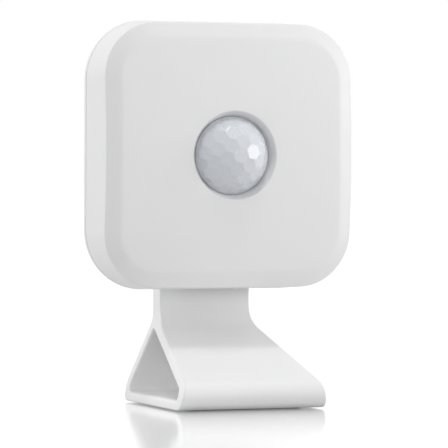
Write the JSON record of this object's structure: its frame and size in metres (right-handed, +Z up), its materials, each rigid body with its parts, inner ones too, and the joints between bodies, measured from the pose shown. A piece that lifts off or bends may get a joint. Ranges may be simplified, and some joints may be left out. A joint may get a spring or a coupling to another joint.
{
  "type": "motion sensor",
  "caption": "Square desk-standing motion sensor with a milky domed lens in a round recess, a pull-off front, a coin cell inside and a folded ribbon stand.",
  "frame": {"origin": "middle of the underside of the stand's foot pad, on the surface the sensor stands on", "axes": "+Z up, the lens looks along -Y, +X to the right as seen from the front"},
  "size_m": [0.0432, 0.0266, 0.0616],
  "materials": {
    "shell_plastic": "fine satin white",
    "stand_plastic": "satin white",
    "pad_silicone": "matt translucent grey silicone",
    "lens_film": "milky translucent polyethylene",
    "inner_plastic": "plain white moulding",
    "black_foam": "matt black",
    "board": "green solder mask",
    "ceramic": "fired ceramic",
    "can_steel": "tinned",
    "filter_glass": "dark infrared filter",
    "chip_black": "moulded epoxy",
    "tantalum": "ochre moulding",
    "black_plastic": "moulded black nylon",
    "gold_plate": "gold plated",
    "cell_steel": "brushed nickel",
    "plunger_plastic": "moulded",
    "screw_steel": "zinc plated"
  },
  "bodies": {
    "stand": {"stand": "stand_plastic", "foot_pad": "pad_silicone"},
    "rear_shell": {"rear_cover": "shell_plastic"},
    "sensor_module": {"front_cover": "shell_plastic", "fresnel_lens": "lens_film", "lens_retainer": "inner_plastic", "sensor_shroud": "black_foam", "circuit_board": "board", "pir_base": "ceramic", "pir_can": "can_steel", "pir_window": "filter_glass", "radio_shield": "can_steel", "radio_chip": "chip_black", "chip_antenna": "ceramic", "radio_crystal": "can_steel", "clock_crystal": "can_steel", "signal_amplifier": "chip_black", "memory_chip": "chip_black", "thermistor": "chip_black", "resistors": "chip_black", "capacitors": "ceramic", "bulk_capacitor": "tantalum", "inductor": "chip_black", "battery_holder": "black_plastic", "positive_clip": "gold_plate", "negative_contact": "gold_plate", "cell_can": "cell_steel", "cell_gasket": "black_plastic", "cell_cap": "cell_steel", "switch_base": "black_plastic", "switch_cover": "can_steel", "board_screws": "screw_steel"},
    "pairing_button": {"switch_plunger": "plunger_plastic"}
  },
  "joints": [
    {"name": "head_lift", "type": "slide", "parent": "stand", "child": "rear_shell", "axis": [0, 0, 1], "range_m": [0, 0.015]},
    {"name": "front_pull", "type": "slide", "parent": "rear_shell", "child": "sensor_module", "axis": [0, -1, 0], "range_m": [0, 0.014]},
    {"name": "button_press", "type": "slide", "parent": "sensor_module", "child": "pairing_button", "axis": [0, -1, 0], "range_m": [0, 0.00025], "stiffness_N_per_m": 400}
  ]
}
